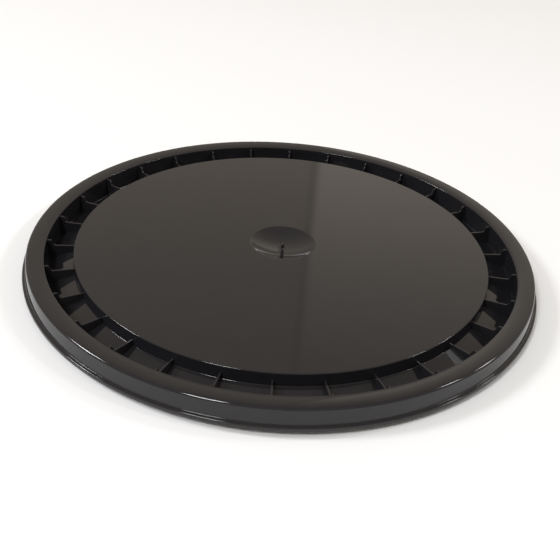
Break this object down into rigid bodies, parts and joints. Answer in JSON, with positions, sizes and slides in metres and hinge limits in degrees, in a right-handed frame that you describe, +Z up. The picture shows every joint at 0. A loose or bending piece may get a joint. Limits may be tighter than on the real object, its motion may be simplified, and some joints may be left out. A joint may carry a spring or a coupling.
{
  "type": "fermenting bucket lid",
  "caption": "Round black press-on lid for a 12 inch plastic fermenting bucket, with a raised middle panel, a ribbed channel, a hollow rim and a rubber sealing ring",
  "frame": {"origin": "middle of the plane that the lid's plug stands on, under the centre of the lid", "axes": "+Z up through the lid's axis, top side up; -Y is the front, where one rib lies; +X to the right"},
  "size_m": [0.314, 0.3138, 0.0156],
  "materials": {
    "lid_plastic": "glossy black moulded polyethylene",
    "ring_rubber": "matt black rubber"
  },
  "bodies": {
    "lid_body": {"lid": "lid_plastic"},
    "ring_body": {"sealing_ring": "ring_rubber"}
  },
  "joints": [
    {"name": "ring_release", "type": "slide", "parent": "lid_body", "child": "ring_body", "axis": [0, 0, -1], "range_m": [0, 0.011]}
  ]
}
